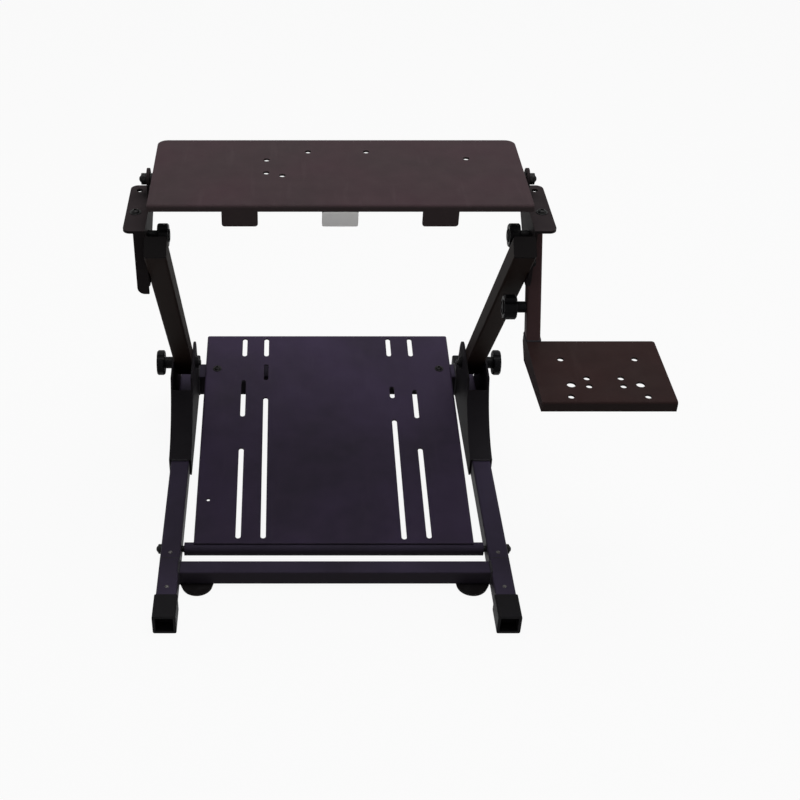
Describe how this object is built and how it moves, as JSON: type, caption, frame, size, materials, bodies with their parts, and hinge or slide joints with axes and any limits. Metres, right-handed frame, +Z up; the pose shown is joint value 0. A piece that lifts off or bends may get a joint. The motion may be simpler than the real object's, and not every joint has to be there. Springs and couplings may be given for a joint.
{
  "type": "racing wheel stand",
  "caption": "Folding black steel stand for a driving-game wheel: floor frame with a slotted pedal deck, leaning arms, a tilting wheel plate and a side shifter plate.",
  "frame": {"origin": "on the floor, under the middle of the whole part's box", "axes": "+X to the shifter's side, +Y from the front caps to the rear, +Z up"},
  "size_m": [0.736, 0.64, 0.556],
  "materials": {
    "tube_paint": "satin black",
    "plate_paint": "satin black",
    "cap_plastic": "moulded black",
    "knob_plastic": "moulded black",
    "pad_rubber": "matt black",
    "bolt_steel": "blackened steel"
  },
  "bodies": {
    "base": {"left_floor_tube": "tube_paint", "right_floor_tube": "tube_paint", "left_front_cap": "cap_plastic", "left_rear_cap": "cap_plastic", "right_front_cap": "cap_plastic", "right_rear_cap": "cap_plastic", "front_cross_tube": "tube_paint", "rear_cross_tube": "tube_paint", "left_floor_pad": "pad_rubber", "right_floor_pad": "pad_rubber", "left_fold_bracket": "tube_paint", "right_fold_bracket": "tube_paint", "left_fold_knob": "knob_plastic", "right_fold_knob": "knob_plastic", "left_deck_bolt": "bolt_steel", "right_deck_bolt": "bolt_steel", "left_deck_riser": "tube_paint", "right_deck_riser": "tube_paint"},
    "upper_frame": {"left_arm": "tube_paint", "right_arm": "tube_paint", "left_arm_plug": "cap_plastic", "right_arm_plug": "cap_plastic", "left_wheel_bracket": "tube_paint", "right_wheel_bracket": "tube_paint", "left_bracket_grip": "knob_plastic", "right_bracket_grip": "knob_plastic", "left_tilt_bolt": "bolt_steel", "right_tilt_bolt": "bolt_steel", "shifter_post": "tube_paint", "shifter_knob": "knob_plastic", "shifter_plate": "plate_paint"},
    "wheel_plate": {"wheel_plate": "plate_paint"},
    "pedal_deck": {"pedal_deck": "plate_paint", "deck_hinge_bar": "tube_paint"}
  },
  "joints": [
    {"name": "arm_fold", "type": "hinge", "parent": "base", "child": "upper_frame", "pos_m": [-0.076, 0.205, 0.1], "axis": [1, 0, 0], "range_deg": [-20, 35]},
    {"name": "wheel_plate_tilt", "type": "hinge", "parent": "upper_frame", "child": "wheel_plate", "pos_m": [-0.076, 0.025, 0.541], "axis": [1, 0, 0], "range_deg": [-20, 20]},
    {"name": "pedal_deck_tilt", "type": "hinge", "parent": "base", "child": "pedal_deck", "pos_m": [-0.076, -0.165, 0.017], "axis": [1, 0, 0], "range_deg": [0, 10]}
  ]
}
